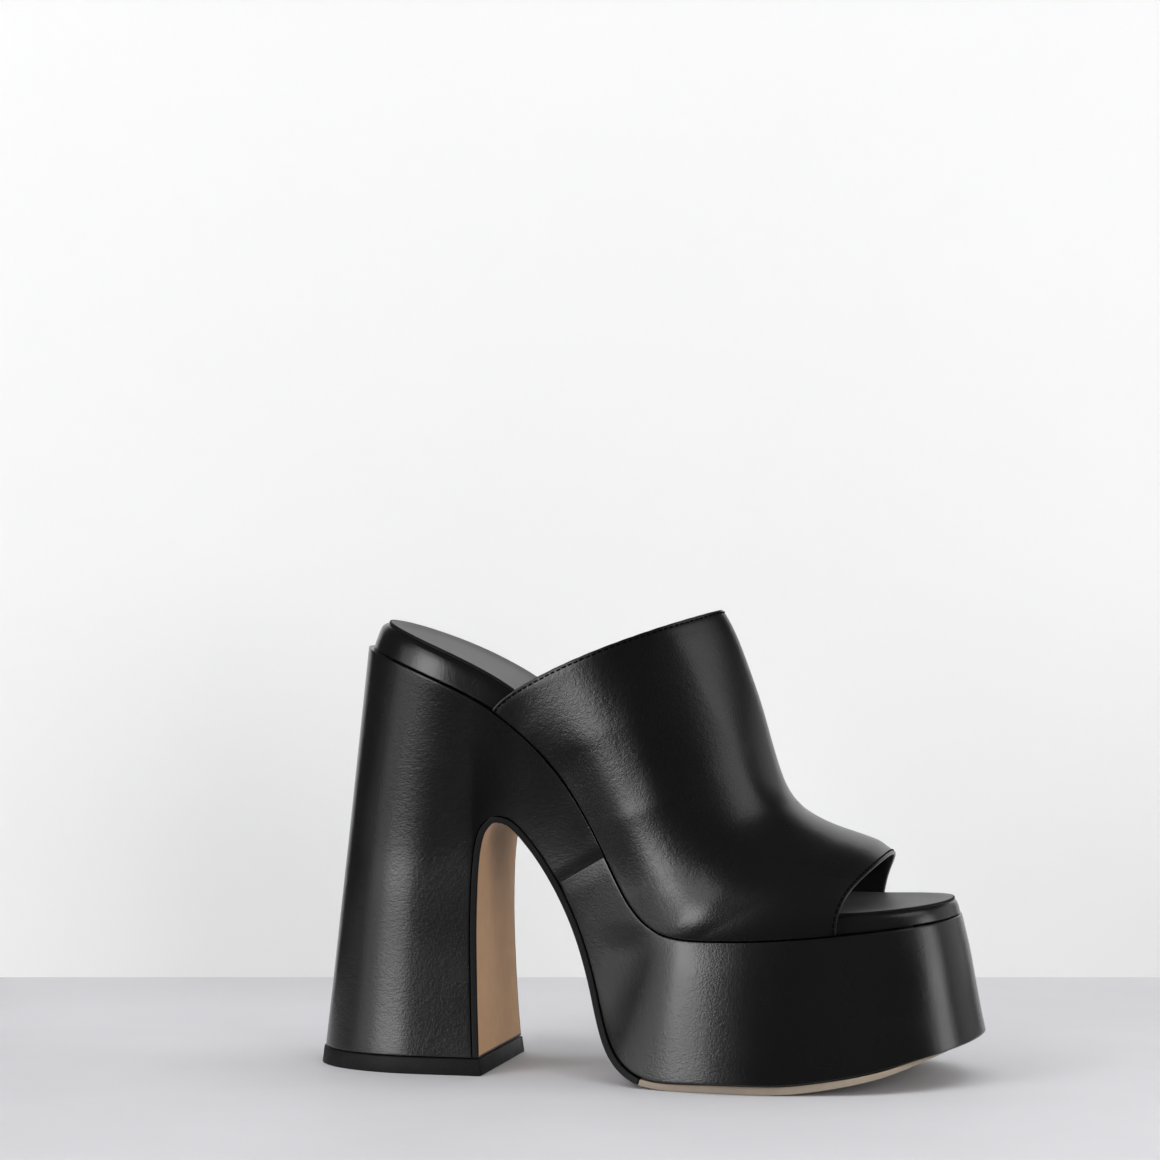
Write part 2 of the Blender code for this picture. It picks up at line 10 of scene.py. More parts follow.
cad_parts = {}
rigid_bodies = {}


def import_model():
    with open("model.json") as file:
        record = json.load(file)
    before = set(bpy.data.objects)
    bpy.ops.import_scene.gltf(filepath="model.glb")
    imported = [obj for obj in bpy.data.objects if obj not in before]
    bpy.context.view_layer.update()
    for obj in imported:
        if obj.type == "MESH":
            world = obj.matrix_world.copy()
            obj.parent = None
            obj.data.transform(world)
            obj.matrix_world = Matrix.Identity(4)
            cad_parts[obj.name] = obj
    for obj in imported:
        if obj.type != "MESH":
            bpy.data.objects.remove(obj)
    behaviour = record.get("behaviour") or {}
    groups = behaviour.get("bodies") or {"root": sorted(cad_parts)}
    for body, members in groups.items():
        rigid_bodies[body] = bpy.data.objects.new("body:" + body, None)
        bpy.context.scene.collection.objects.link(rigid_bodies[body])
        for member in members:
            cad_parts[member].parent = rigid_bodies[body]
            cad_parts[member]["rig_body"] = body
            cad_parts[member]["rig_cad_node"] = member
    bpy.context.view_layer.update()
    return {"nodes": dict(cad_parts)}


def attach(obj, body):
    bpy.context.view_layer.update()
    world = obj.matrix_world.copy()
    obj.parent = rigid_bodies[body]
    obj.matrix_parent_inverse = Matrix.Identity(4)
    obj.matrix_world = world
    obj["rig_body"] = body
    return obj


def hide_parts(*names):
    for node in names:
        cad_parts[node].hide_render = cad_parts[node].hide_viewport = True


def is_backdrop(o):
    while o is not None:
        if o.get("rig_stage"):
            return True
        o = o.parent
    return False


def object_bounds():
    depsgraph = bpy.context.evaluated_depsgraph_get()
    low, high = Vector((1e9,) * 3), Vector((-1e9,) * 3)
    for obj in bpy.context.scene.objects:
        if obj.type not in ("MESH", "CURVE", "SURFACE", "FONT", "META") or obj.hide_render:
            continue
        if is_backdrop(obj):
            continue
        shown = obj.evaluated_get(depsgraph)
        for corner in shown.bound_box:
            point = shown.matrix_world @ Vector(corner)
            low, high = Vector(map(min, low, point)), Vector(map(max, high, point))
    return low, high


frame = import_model()
bpy.context.scene.view_settings.view_transform = "Standard"
print("stage: packed model loaded")


# Everything is deselected first, because the loaded nodes come in selected
def makeActive(piece):
    if bpy.context.mode != "OBJECT":
        bpy.ops.object.mode_set(mode="OBJECT")
    bpy.ops.object.select_all(action="DESELECT")
    piece.select_set(True)
    bpy.context.view_layer.objects.active = piece


def startEdit(piece, kind="FACE"):
    makeActive(piece)
    bpy.ops.object.mode_set(mode="EDIT")
    bpy.ops.mesh.select_mode(type=kind)
    bpy.ops.mesh.select_all(action="DESELECT")


# Selects the faces that pass a test and stays in edit mode
def pickFaces(piece, test):
    startEdit(piece)
    bpy.ops.object.mode_set(mode="OBJECT")
    for face in piece.data.polygons:
        face.select = bool(test(face))
    bpy.ops.object.mode_set(mode="EDIT")


def applyModifier(piece, kind, **settings):
    makeActive(piece)
    modifier = piece.modifiers.new(kind.title(), kind)
    for name, value in settings.items():
        setattr(modifier, name, value)
    bpy.ops.object.modifier_apply(modifier=modifier.name)


def smoothOut(piece, levels):
    applyModifier(piece, "SUBSURF", levels=levels, render_levels=levels)


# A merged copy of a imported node, in quads, with its hard edges marked
def copyOfNode(node, name, hardAngle=40):
    source = frame["nodes"][node]
    makeActive(source)
    bpy.ops.object.duplicate()
    piece = bpy.context.active_object
    piece.name = piece.data.name = name
    piece.parent = None
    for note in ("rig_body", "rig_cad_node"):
        del piece[note]
    piece.data.materials.clear()
    startEdit(piece, "EDGE")
    bpy.ops.mesh.customdata_custom_splitnormals_clear()
    bpy.ops.mesh.select_all(action="SELECT")
    bpy.ops.mesh.remove_doubles(threshold=0.00002)
    bpy.ops.mesh.tris_convert_to_quads(face_threshold=math.radians(50), shape_threshold=math.radians(70))
    bpy.ops.mesh.mark_sharp(clear=True)
    bpy.ops.mesh.select_all(action="DESELECT")
    bpy.ops.mesh.edges_select_sharp(sharpness=math.radians(hardAngle))
    bpy.ops.mesh.mark_sharp()
    makeActive(piece)
    return piece


def assignTo(piece, material):
    if material.name not in piece.data.materials:
        piece.data.materials.append(material)
    piece.active_material_index = piece.data.materials.find(material.name)
    bpy.ops.object.material_slot_assign()


# Selects the whole stretch of faces, between hard edges, that holds the seed faces, and paints it
def paintStretch(piece, material, seed):
    pickFaces(piece, seed)
    bpy.ops.mesh.select_linked(delimit={"SHARP"})
    assignTo(piece, material)


# Leaves a painted border of one width after another around the stretch that holds the seed faces
def paintBorders(piece, borders, inside, seed):
    paintStretch(piece, borders[0][1], seed)
    for width, material in borders:
        assignTo(piece, material)
        bpy.ops.mesh.inset(thickness=width, use_even_offset=True)
    assignTo(piece, inside)
    makeActive(piece)


# Rounds the marked edges
def roundEdges(piece, width, segments, hardAngle=40):
    startEdit(piece, "EDGE")
    bpy.ops.mesh.edges_select_sharp(sharpness=math.radians(hardAngle))
    bpy.ops.mesh.bevel(offset=width, segments=segments, affect="EDGES", clamp_overlap=True)
    bpy.ops.mesh.select_all(action="SELECT")
    bpy.ops.mesh.mark_sharp(clear=True)
    makeActive(piece)


def placesOf(piece):
    places = np.empty(len(piece.data.vertices) * 3)
    piece.data.vertices.foreach_get("co", places)
    return places.reshape(-1, 3)


def looksOf(piece):
    looks = np.empty(len(piece.data.vertices) * 3)
    piece.data.vertices.foreach_get("normal", looks)
    return looks.reshape(-1, 3)


# How far each place is from the nearest of some spots
def distanceTo(places, spots):
    tree = KDTree(len(spots))
    for index, spot in enumerate(spots):
        tree.insert(spot, index)
    tree.balance()
    return np.array([tree.find(place)[2] for place in places])


# A line of places with more between them
def finer(line):
    return np.concatenate([np.linspace(one, other, 4)[:-1] for one, other in zip(line[:-1], line[1:])])


# Moves a piece's surface by a share of a height, along an axis or along its own normals
def pushOut(piece, shares, height, along="NORMAL"):
    group = piece.vertex_groups.new(name="push")
    for index in np.nonzero(shares > 0.002)[0]:
        group.add([int(index)], float(shares[index]), "REPLACE")
    applyModifier(piece, "DISPLACE", vertex_group="push", strength=height, mid_level=0.0, direction=along)
    piece.vertex_groups.remove(piece.vertex_groups["push"])


def fade(value, start, end):
    t = np.clip((value - start) / (end - start), 0, 1)
    return t * t * (3 - 2 * t)


def finishPiece(piece, node):
    makeActive(piece)
    bpy.ops.object.transform_apply(location=True, rotation=True, scale=True)
    bpy.ops.object.shade_smooth_by_angle(angle=math.radians(50))
    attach(piece, "root")
    if node:
        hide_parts(node)


# Shorthand for the nodes of one material
class Nodes:
    def __init__(self, name):
        self.material = bpy.data.materials.new(name)
        self.material.use_nodes = True
        self.tree = self.material.node_tree
        self.shader = self.tree.nodes["Principled BSDF"]
        self.place = self.add("ShaderNodeTexCoord").outputs["Object"]

    def add(self, kind, inputs=(), **settings):
        node = self.tree.nodes.new(kind)
        for name, value in settings.items():
            setattr(node, name, value)
        for name, value in dict(inputs).items():
            self.feed(node.inputs[name], value)
        return node

    def feed(self, socket, value):
        if isinstance(value, bpy.types.NodeSocket):
            self.tree.links.new(value, socket)
        else:
            socket.default_value = value

    def noise(self, scale, detail=4.0, roughness=0.55, place=None, distortion=0.0):
        return self.add("ShaderNodeTexNoise", {"Vector": place or self.place, "Scale": scale, "Detail": detail,
                                               "Roughness": roughness, "Distortion": distortion}).outputs["Fac"]

    def cells(self, scale, feature="F1", place=None):
        return self.add("ShaderNodeTexVoronoi", {"Vector": place or self.place, "Scale": scale},
                        feature=feature).outputs["Distance"]

    def stretch(self, size):
        return self.add("ShaderNodeMapping", {"Vector": self.place, "Scale": size}).outputs["Vector"]

    def span(self, value, low, high, newLow=0.0, newHigh=1.0):
        return self.add("ShaderNodeMapRange", {"Value": value, "From Min": low, "From Max": high,
                                               "To Min": newLow, "To Max": newHigh}).outputs["Result"]

    def math(self, operation, first, second=0.0):
        node = self.add("ShaderNodeMath", operation=operation)
        self.feed(node.inputs[0], first)
        self.feed(node.inputs[1], second)
        return node.outputs["Value"]

    def blend(self, share, first, second):
        node = self.add("ShaderNodeMix", data_type="RGBA")
        self.feed(node.inputs["Factor"], share)
        for socket, value in ((node.inputs[6], first), (node.inputs[7], second)):
            self.feed(socket, value if isinstance(value, bpy.types.NodeSocket) else (*value, 1.0))
        return node.outputs[2]

    def bump(self, height, strength, depth, after=None):
        inputs = {"Height": height, "Strength": strength, "Distance": depth}
        if after:
            inputs["Normal"] = after
        return self.add("ShaderNodeBump", inputs).outputs["Normal"]

    def near(self, point, reach):
        shift = self.add("ShaderNodeVectorMath", {0: self.place, 1: point}, operation="DISTANCE")
        return self.span(shift.outputs["Value"], reach, reach * 0.3)


calf = {
    "colour": (0.0030, 0.0030, 0.0032),
    "worn": (0.0058, 0.0057, 0.0057),
    "gloss": 0.26,
    "glossChange": 0.05,
    "grainSize": 1500,
    "grainDepth": 0.00006,
    "wrinkleSize": 620,
    "wrinkleDepth": 0.00012,
}


# Smooth black calf: fine pores, faint wrinkles and a satin finish that varies a little
def calfLeather(name, grainAt=(), gloss=None):
    n = Nodes(name)
    slanted = n.add("ShaderNodeMapping", {"Vector": n.place, "Rotation": (0.61, 0.47, 0.73)}).outputs["Vector"]
    pores = n.span(n.cells(calf["grainSize"], place=slanted), 0.0, 0.65)
    wrinkles = n.noise(calf["wrinkleSize"], 4.0, 0.6, slanted, 0.6)
    cloud = n.noise(38, 2.0, 0.5)
    smear = n.noise(9, 1.0, 0.5)
    gloss = gloss or calf["gloss"]
    rough = n.span(cloud, 0.2, 0.8, gloss - calf["glossChange"], gloss + calf["glossChange"])
    n.feed(n.shader.inputs["Roughness"], rough)
    n.feed(n.shader.inputs["Base Color"], n.blend(n.span(smear, 0.2, 0.8), calf["colour"], calf["worn"]))
    strength = 0.36
    for spot in grainAt:
        strength = n.math("MAXIMUM", strength, n.span(n.near(*spot), 0.0, 1.0, 0.36, 0.85))
    first = n.bump(wrinkles, strength, calf["wrinkleDepth"])
    n.feed(n.shader.inputs["Normal"], n.bump(pores, 0.30, calf["grainDepth"], first))
    n.shader.inputs["IOR"].default_value = 1.5
    n.shader.inputs["Coat Weight"].default_value = 0.05
    n.shader.inputs["Coat Roughness"].default_value = 0.20
    return n.material


def plainBlack(name, colour, gloss, size, depth, shine=0.5):
    n = Nodes(name)
    dust = n.noise(size, 6.0, 0.65)
    n.feed(n.shader.inputs["Base Color"], n.blend(n.span(dust, 0.35, 0.75), colour, [c * 1.7 for c in colour]))
    n.feed(n.shader.inputs["Roughness"], n.span(n.noise(size / 12), 0.3, 0.7, gloss - 0.06, gloss + 0.06))
    n.feed(n.shader.inputs["Normal"], n.bump(dust, 0.3, depth))
    n.shader.inputs["Specular IOR Level"].default_value = shine
    return n.material


tan = {
    "light": (0.70, 0.43, 0.245),
    "dark": (0.56, 0.325, 0.175),
    "fibre": 900,
    "sheen": 0.10,
}


# Natural sole leather: fine fibres along the piece, cloudy tone, and a burnished sheen
def tanLeather(name, light=None, dark=None):
    n = Nodes(name)
    fibres = n.noise(tan["fibre"], 6.0, 0.7, n.stretch((0.25, 1.0, 0.12)))
    cloud = n.noise(26, 4.0, 0.6)
    tone = n.math("ADD", n.math("MULTIPLY", cloud, 0.75), n.math("MULTIPLY", fibres, 0.25))
    n.feed(n.shader.inputs["Base Color"], n.blend(n.span(tone, 0.36, 0.62), dark or tan["dark"], light or tan["light"]))
    n.feed(n.shader.inputs["Roughness"], n.span(cloud, 0.35, 0.65, 0.55, 0.68))
    n.feed(n.shader.inputs["Normal"], n.bump(fibres, 0.25, 0.00006))
    n.shader.inputs["Specular IOR Level"].default_value = tan["sheen"]
    return n.material


calfLook = calfLeather("blackCalf")
vampLook = calfLeather("vampCalf", [((-0.004, -0.030, 0.112), 0.034), ((0.016, -0.038, 0.072), 0.026)], 0.30)
liningLook = plainBlack("blackLining", (0.010, 0.010, 0.011), 0.72, 900, 0.00005)
inkLook = plainBlack("edgeInk", (0.004, 0.004, 0.004), 0.55, 700, 0.00003, 0.16)
stainLook = plainBlack("inkStain", (0.060, 0.034, 0.020), 0.55, 900, 0.00003)
rubberLook = plainBlack("blackRubber", (0.006, 0.006, 0.006), 0.58, 1300, 0.00004, 0.15)
threadLook = plainBlack("blackThread", (0.0015, 0.0015, 0.0015), 0.85, 4000, 0.00003, 0.05)
facingLook = tanLeather("tanFacing")
soleLook = tanLeather("tanSole", (0.30, 0.25, 0.20), (0.22, 0.18, 0.14))

sockStyle = {"colour": (0.125, 0.125, 0.126), "dark": (0.085, 0.085, 0.087)}


def sockLeather():
    n = Nodes("greySock")
    cloud = n.noise(30, 4.0, 0.6)
    pores = n.cells(1800)
    n.feed(n.shader.inputs["Base Color"], n.blend(n.span(cloud, 0.35, 0.65), sockStyle["dark"], sockStyle["colour"]))
    n.feed(n.shader.inputs["Roughness"], n.span(cloud, 0.3, 0.7, 0.46, 0.56))
    n.feed(n.shader.inputs["Normal"], n.bump(pores, 0.2, 0.00005))
    return n.material


sockLook = sockLeather()
print("stage: materials made")

cover = {"edge": 0.0007, "segments": 3, "smooth": 2, "heelDip": 0.0002, "heelReach": 0.004,
         "seamDip": 0.0002, "seamReach": 0.0060, "seamLap": 0.0009,
         "swell": 0.0022, "swellAt": 0.042, "swellBack": 0.055, "swellFront": 0.040, "toeOut": 0.0012,
         "dent": 0.0009, "dentAt": 0.003, "dentReach": 0.017}


def makeCover(node, name):
    piece = copyOfNode(node, name)
    piece.data.materials.append(calfLook)
    roundEdges(piece, cover["edge"], cover["segments"])
    smoothOut(piece, cover["smooth"])
    return piece


# The covers dip towards their seam, the platform's over a longer reach than the heel's
def dipAtSeam(piece, side, depth, reach):
    distance = (placesOf(piece) - np.array(seamPlace)) @ np.array(seamNormal) * side
    nearSeam = 1 - fade(np.abs(placesOf(piece)[:, 0] - seamPlace.x), 0.020, 0.028)
    pushOut(piece, nearSeam * (1 - fade(distance, 0.0003, reach)), -depth)


seamLook = Vector((-0.47, 0, 0.88))
seamFaces = [face for face in frame["nodes"]["platform"].data.polygons
             if face.normal.dot(seamLook) > 0.9 and face.center.x < 0]
seamPlace = sum((face.center * face.area for face in seamFaces), Vector()) / sum(face.area for face in seamFaces)
seamNormal = sum((face.normal * face.area for face in seamFaces), Vector()).normalized()
heelCover = makeCover("heel", "heelCover")
dipAtSeam(heelCover, 1, cover["heelDip"], cover["heelReach"])
lap = 1 - fade((placesOf(heelCover) - np.array(seamPlace)) @ np.array(seamNormal), 0.0010, 0.0035)
lap = lap * (1 - fade(np.abs(placesOf(heelCover)[:, 0] - seamPlace.x), 0.020, 0.028))
pushOut(heelCover, lap, -cover["seamLap"] * seamNormal.x, "X")
pushOut(heelCover, lap, -cover["seamLap"] * seamNormal.z, "Z")
finishPiece(heelCover, "heel")
platformCover = makeCover("platform", "platformCover")
dipAtSeam(platformCover, -1, cover["seamDip"], cover["seamReach"])
along, across, up = placesOf(platformCover).T
offset = along - cover["swellAt"]
reach = np.where(offset < 0, cover["swellBack"], cover["swellFront"])
bulge = (1 + np.cos(np.pi * np.clip(np.abs(offset) / reach, 0, 1))) / 2
pushOut(platformCover, bulge * fade(-across, 0.010, 0.028) * (1 - 0.6 * fade(up, 0.036, 0.052)), -cover["swell"], "Y")
dent = (1 + np.cos(np.pi * np.clip(np.abs(along - cover["dentAt"]) / cover["dentReach"], 0, 1))) / 2
pushOut(platformCover, dent * fade(-across, 0.010, 0.024) * (1 - fade(up, 0.040, 0.052)), cover["dent"], "Y")
pushOut(platformCover, fade(along, 0.070, 0.100) * fade(up, 0.015, 0.045), cover["toeOut"], "X")
finishPiece(platformCover, "platform")
print("stage: heel and platform covered")

facing = {"edge": 0.0003, "segments": 2, "ink": 0.00035, "stain": 0.0004,
          "toeShort": 0.0040, "toeLift": 0.0002}


def makeTan(node, name, look, inked):
    piece = copyOfNode(node, name)
    piece.data.materials.append(look)
    if inked:
        startEdit(piece, "EDGE")
        bpy.ops.mesh.edges_select_sharp(sharpness=math.radians(40))
        bpy.ops.transform.edge_crease(value=1)
        smoothOut(piece, 2)
        startEdit(piece, "EDGE")
        bpy.ops.mesh.edges_select_sharp(sharpness=math.radians(40))
        bpy.ops.mesh.mark_sharp()
        pickFaces(piece, lambda face: True)
        assignTo(piece, inkLook)
        paintBorders(piece, [(facing["ink"], inkLook), (facing["stain"], stainLook)], look,
                     lambda face: face.normal.x > 0.7 and face.center.x < -0.036 and face.center.z < 0.06)
    roundEdges(piece, facing["edge"], facing["segments"])
    return piece


facingPiece = makeTan("waist_cover", "waistFacing", facingLook, True)
finishPiece(facingPiece, "waist_cover")

# The outsole stops short of the toe, where the platform's cover wraps under
outsolePiece = makeTan("outsole", "forefootSole", soleLook, False)
smoothOut(outsolePiece, 2)
pushOut(outsolePiece, fade(placesOf(outsolePiece)[:, 0], 0.080, 0.108), -facing["toeShort"], "X")
pushOut(outsolePiece, fade(placesOf(outsolePiece)[:, 0], 0.080, 0.099), facing["toeLift"], "Z")
finishPiece(outsolePiece, "outsole")
print("stage: facing and outsole made")

lift = {"edge": 0.0004}
liftPiece = copyOfNode("top_lift", "heelTopPiece")
liftPiece.data.materials.append(rubberLook)
roundEdges(liftPiece, lift["edge"], 2)
finishPiece(liftPiece, "top_lift")
print("stage: top piece made")

bed = {"edge": 0.0004, "fill": 0.9, "sockEdge": 0.00025, "sockInk": 0.0004, "sockGrow": (1.013, 1.03, 1.0),
       "wrap": 0.0008, "wrapReach": 0.0034, "toeOut": 0.0022}
footbedPiece = copyOfNode("footbed", "paddedFootbed", 60)
footbedPiece.data.materials.append(calfLook)
roundEdges(footbedPiece, bed["edge"], 2, 60)
smoothOut(footbedPiece, 2)
pushOut(footbedPiece, fade(placesOf(footbedPiece)[:, 0], 0.070, 0.098), cover["toeOut"], "X")
finishPiece(footbedPiece, "footbed")

sockPiece = copyOfNode("insock", "insoleSock", 50)
sockPiece.data.materials.append(sockLook)
paintStretch(sockPiece, inkLook, lambda face: abs(face.normal.z) < 0.4)
paintBorders(sockPiece, [(bed["sockInk"], inkLook), (0.0012, sockLook), (0.0018, sockLook)], sockLook,
             lambda face: face.normal.z > 0.7)
roundEdges(sockPiece, bed["sockEdge"], 2, 50)
smoothOut(sockPiece, 1)
startEdit(sockPiece)
bpy.ops.mesh.select_all(action="SELECT")
bpy.ops.transform.resize(value=bed["sockGrow"], center_override=(0.005, 0, 0.09))
makeActive(sockPiece)
sides = np.abs(looksOf(sockPiece)[:, 2]) < 0.6
atToe = fade(placesOf(sockPiece)[:, 0], 0.050, 0.075)
rimShare = 1 - fade(distanceTo(placesOf(sockPiece), placesOf(sockPiece)[sides]), 0.0, bed["wrapReach"])
pushOut(sockPiece, rimShare * atToe, -bed["wrap"], "Z")
pushOut(sockPiece, fade(placesOf(sockPiece)[:, 0], 0.060, 0.095), bed["toeOut"], "X")
finishPiece(sockPiece, "insock")
print("stage: footbed and sock made")

# Each fold is a line of (along, up, share of its height) on one side of the vamp, and how far it
# fades to the back and to the front
vamp = {
    "edge": 0.0007,
    "segments": 4,
    "smooth": 2,
    "roll": 0.0014,
    "rollFrom": 0.058,
    "rollFull": 0.072,
    "rollReach": 0.0065,
    "groove": 0.00010,
    "groovePlace": 0.0012,
    "grooveReach": 0.0009,
    "folds": [
        {"line": [(-0.006, 0.152, 0.7), (-0.003, 0.1358, 0.85), (0.004, 0.1138, 1.0), (0.0130, 0.0888, 0.95),
                  (0.0210, 0.0690, 0.6), (0.0310, 0.0510, 0.3)],
         "back": 0.040, "front": 0.044, "height": 0.0083, "side": -1},
        {"line": [(0.0015, 0.134, 0.0), (0.004, 0.1138, 0.8), (0.0105, 0.0950, 1.0), (0.0145, 0.082, 0.0)],
         "back": 0.009, "front": 0.012, "height": 0.0004, "side": -1},
        {"line": [(-0.034, 0.108, 0.0), (-0.022, 0.096, 0.9), (-0.009, 0.0720, 1.0), (0.0035, 0.0555, 0.8),
                  (0.0170, 0.0480, 0.0)],
         "back": 0.015, "front": 0.015, "height": -0.0013, "side": -1},
        {"line": [(0.000, 0.150, 0.6), (0.006, 0.1138, 1.0), (0.012, 0.085, 0.6), (0.020, 0.062, 0.0)],
         "back": 0.028, "front": 0.036, "height": 0.0022, "side": 1},
    ],
}


# How much of a fold each place takes
def foldShare(places, fold):
    flat = places[:, [0, 2]]
    nearest = np.full(len(places), np.inf)
    shares = np.zeros(len(places))
    for first, second in zip(fold["line"][:-1], fold["line"][1:]):
        start, run = np.array(first[:2]), np.array(second[:2]) - np.array(first[:2])
        t = np.clip((flat - start) @ run / (run @ run), 0, 1)
        gap = flat - start - t[:, None] * run
        distance = np.hypot(gap[:, 0], gap[:, 1])
        reach = np.where(run[0] * gap[:, 1] - run[1] * gap[:, 0] < 0, fold["back"], fold["front"])
        share = first[2] + t * (second[2] - first[2])
        height = share * (1 + np.cos(np.pi * np.clip(distance / reach, 0, 1))) / 2
        shares = np.where(distance < nearest, height, shares)
        nearest = np.minimum(distance, nearest)
    return shares * fade(places[:, 1] * fold["side"], 0.003, 0.017)


def looksOut(face):
    return face.normal.dot(face.center - Vector((face.center.x, 0, 0.045))) > 0


# The outer edge of the rim whose faces look one way, as places in order
def rimLine(piece, look):
    facesAt = {}
    for face in piece.data.polygons:
        for key in face.edge_keys:
            facesAt.setdefault(key, []).append(face)
    links = {}
    for (one, other), faces in facesAt.items():
        rims = [face.normal.dot(look) > 0.75 for face in faces]
        if sum(rims) == 1 and looksOut(faces[rims.index(False)]):
            links.setdefault(one, []).append(other)
            links.setdefault(other, []).append(one)
    here = min((point for point, ends in links.items() if len(ends) == 1),
               key=lambda point: piece.data.vertices[point].co.y)
    line = [here]
    while True:
        ahead = [point for point in links[line[-1]] if point not in line]
        if not ahead:
            break
        line.append(ahead[0])
    return np.array([piece.data.vertices[point].co[:] for point in line])


vampPiece = copyOfNode("upper", "leatherVamp", 55)
vampPiece.data.materials.append(vampLook)
paintStretch(vampPiece, liningLook, lambda face: abs(face.normal.y) > 0.8 and not looksOut(face))
makeActive(vampPiece)
rims = {"topline": rimLine(vampPiece, Vector((-0.37, 0, 0.93))), "toe": rimLine(vampPiece, Vector((0.82, 0, -0.57)))}
roundEdges(vampPiece, vamp["edge"], vamp["segments"], 55)
smoothOut(vampPiece, vamp["smooth"])
for fold in vamp["folds"]:
    pushOut(vampPiece, foldShare(placesOf(vampPiece), fold), fold["side"] * fold["height"], "Y")
    for line in rims.values():
        line[:, 1] += foldShare(line, fold) * fold["side"] * fold["height"]

# The toe's rim rolls down at its top, and a groove runs along each rim for the stitches
atToe = 1 - fade(distanceTo(placesOf(vampPiece), finer(rims["toe"])), 0.0, vamp["rollReach"])
atTop = fade(placesOf(vampPiece)[:, 2], vamp["rollFrom"], vamp["rollFull"])
pushOut(vampPiece, atTop * atToe, -vamp["roll"], "Z")
rims["toe"][:, 2] -= vamp["roll"] * fade(rims["toe"][:, 2], vamp["rollFrom"], vamp["rollFull"])
for line in rims.values():
    gap = np.abs(distanceTo(placesOf(vampPiece), finer(line)) - vamp["groovePlace"])
    pushOut(vampPiece, 1 - fade(gap, 0.0, vamp["grooveReach"]), -vamp["groove"])
finishPiece(vampPiece, "upper")
print("stage: vamp made")

thread = {"thick": 0.00050, "long": 0.0016, "pitch": 0.0021, "dip": 0.00020, "inside": 0.0012, "proud": 0.00012}


# One stitch: a short bead of thread whose ends dive into the leather
def makeStitch():
    bpy.ops.mesh.primitive_cylinder_add(vertices=6, radius=thread["thick"] / 2, depth=thread["long"] * 0.6,
                                        rotation=(0, math.radians(90), 0))
    stitch = bpy.context.active_object
    makeActive(stitch)
    bpy.ops.object.transform_apply(location=True, rotation=True, scale=True)
    for end in (-1, 1):
        pickFaces(stitch, lambda face: face.normal.x * end > 0.9)
        bpy.ops.mesh.extrude_region_move(TRANSFORM_OT_translate={"value": (end * thread["long"] * 0.2, 0,
                                                                           -thread["dip"])})
        bpy.ops.transform.resize(value=(1, 0.6, 0.6), center_override=(0, 0, -thread["dip"]))
    makeActive(stitch)
    stitch.data.materials.append(threadLook)
    return stitch


# A row of stitches, a little inside a rim and flat on the leather
def sewAlong(name, line, rimLook):
    gaps = np.linalg.norm(np.diff(line, axis=0), axis=1)
    run = np.concatenate([[0], np.cumsum(gaps)])
    stops = np.arange(thread["pitch"] / 2, run[-1], thread["pitch"])
    spots = np.stack([np.interp(stops, run, line[:, axis]) for axis in range(3)], axis=1)
    skin = BVHTree.FromObject(vampPiece, bpy.context.evaluated_depsgraph_get())
    pattern = makeStitch()
    row = []
    for number, spot in enumerate(spots):
        before, after = spots[max(number - 1, 0)], spots[min(number + 1, len(spots) - 1)]
        ahead = Vector(after - before).normalized()
        look = skin.find_nearest(Vector(spot) - rimLook * 0.002)[1]
        inward = look.cross(ahead).normalized()
        if inward.dot(rimLook) > 0:
            inward = -inward
        place, look, _, _ = skin.find_nearest(Vector(spot) + inward * thread["inside"] + look * 0.0005)
        ahead = (ahead - look * ahead.dot(look)).normalized()
        stitch = pattern.copy()
        stitch.data = pattern.data.copy()
        bpy.context.collection.objects.link(stitch)
        turn = Matrix((ahead, look.cross(ahead), look)).transposed().to_4x4()
        stitch.matrix_world = Matrix.Translation(place + look * thread["proud"]) @ turn
        row.append(stitch)
    bpy.data.objects.remove(pattern)
    makeActive(row[0])
    for stitch in row:
        stitch.select_set(True)
    bpy.ops.object.join()
    piece = bpy.context.active_object
    piece.name = piece.data.name = name
    finishPiece(piece, None)
    return piece


sewAlong("toplineStitches", rims["topline"], Vector((-0.37, 0, 0.93)))
sewAlong("toeStitches", rims["toe"], Vector((0.82, 0, -0.57)))
print("stage: vamp sewn")

studio = {
    "camera": (0.22121, -1.05760, 0.158),
    "turn": 13.0,
    "lens": 103.56,
    "wallAway": 0.247,
    "floorFront": 0.07,
    "wallSide": 0.25,
    "wallHigh": 0.28,
    "far": 3.0,
    "floorColour": (0.60, 0.60, 0.625),
    "wallColour": (0.80, 0.80, 0.795),
}


def stageLook(name, colour, patchiness, clearBehind=False):
    n = Nodes(name)
    patches = n.noise(7, 5.0, 0.6)
    darker = [c * (1 - patchiness) for c in colour]
    n.feed(n.shader.inputs["Base Color"], n.blend(n.span(patches, 0.35, 0.65), darker, colour))
    n.shader.inputs["Roughness"].default_value = 0.7
    if clearBehind:
        backSide = n.add("ShaderNodeNewGeometry").outputs["Backfacing"]
        mix = n.add("ShaderNodeMixShader", {0: backSide, 1: n.shader.outputs["BSDF"],
                                            2: n.add("ShaderNodeBsdfTransparent").outputs["BSDF"]})
        n.feed(n.tree.nodes["Material Output"].inputs["Surface"], mix.outputs["Shader"])
    return n.material


turn = math.radians(studio["turn"])
sideways = Vector((math.cos(turn), math.sin(turn), 0))
away = Vector((-math.sin(turn), math.cos(turn), 0))


